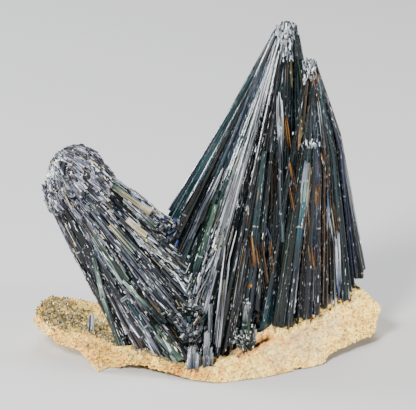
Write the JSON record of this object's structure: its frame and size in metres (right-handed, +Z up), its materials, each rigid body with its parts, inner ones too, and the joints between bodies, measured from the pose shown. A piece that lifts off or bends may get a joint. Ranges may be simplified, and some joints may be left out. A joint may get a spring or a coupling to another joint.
{
  "type": "mineral specimen",
  "caption": "Sprays of long, dark blue-green, blade-like crystals fanning up from a broken sandstone slab.",
  "frame": {"origin": "centre of the bounding box's bottom, on the surface the slab rests on", "axes": "+Z up, away from the rest face; +X to the viewer's right along the slab's length; -Y towards the front, the side with the front ridge of crystals and the broken stubs"},
  "size_m": [0.0909, 0.0578, 0.0901],
  "materials": {
    "sandstone": "rough, granular, cream to tan with rust stains",
    "vivianite": "glassy to pearly, dark blue-green with brown streaks",
    "pale_crystal": "glassy, pale grey-green"
  },
  "bodies": {
    "root": {"matrix_slab": "sandstone", "tall_spray": "vivianite", "leaning_spray": "vivianite", "foot_cluster": "pale_crystal", "lone_crystal": "pale_crystal"}
  },
  "joints": []
}
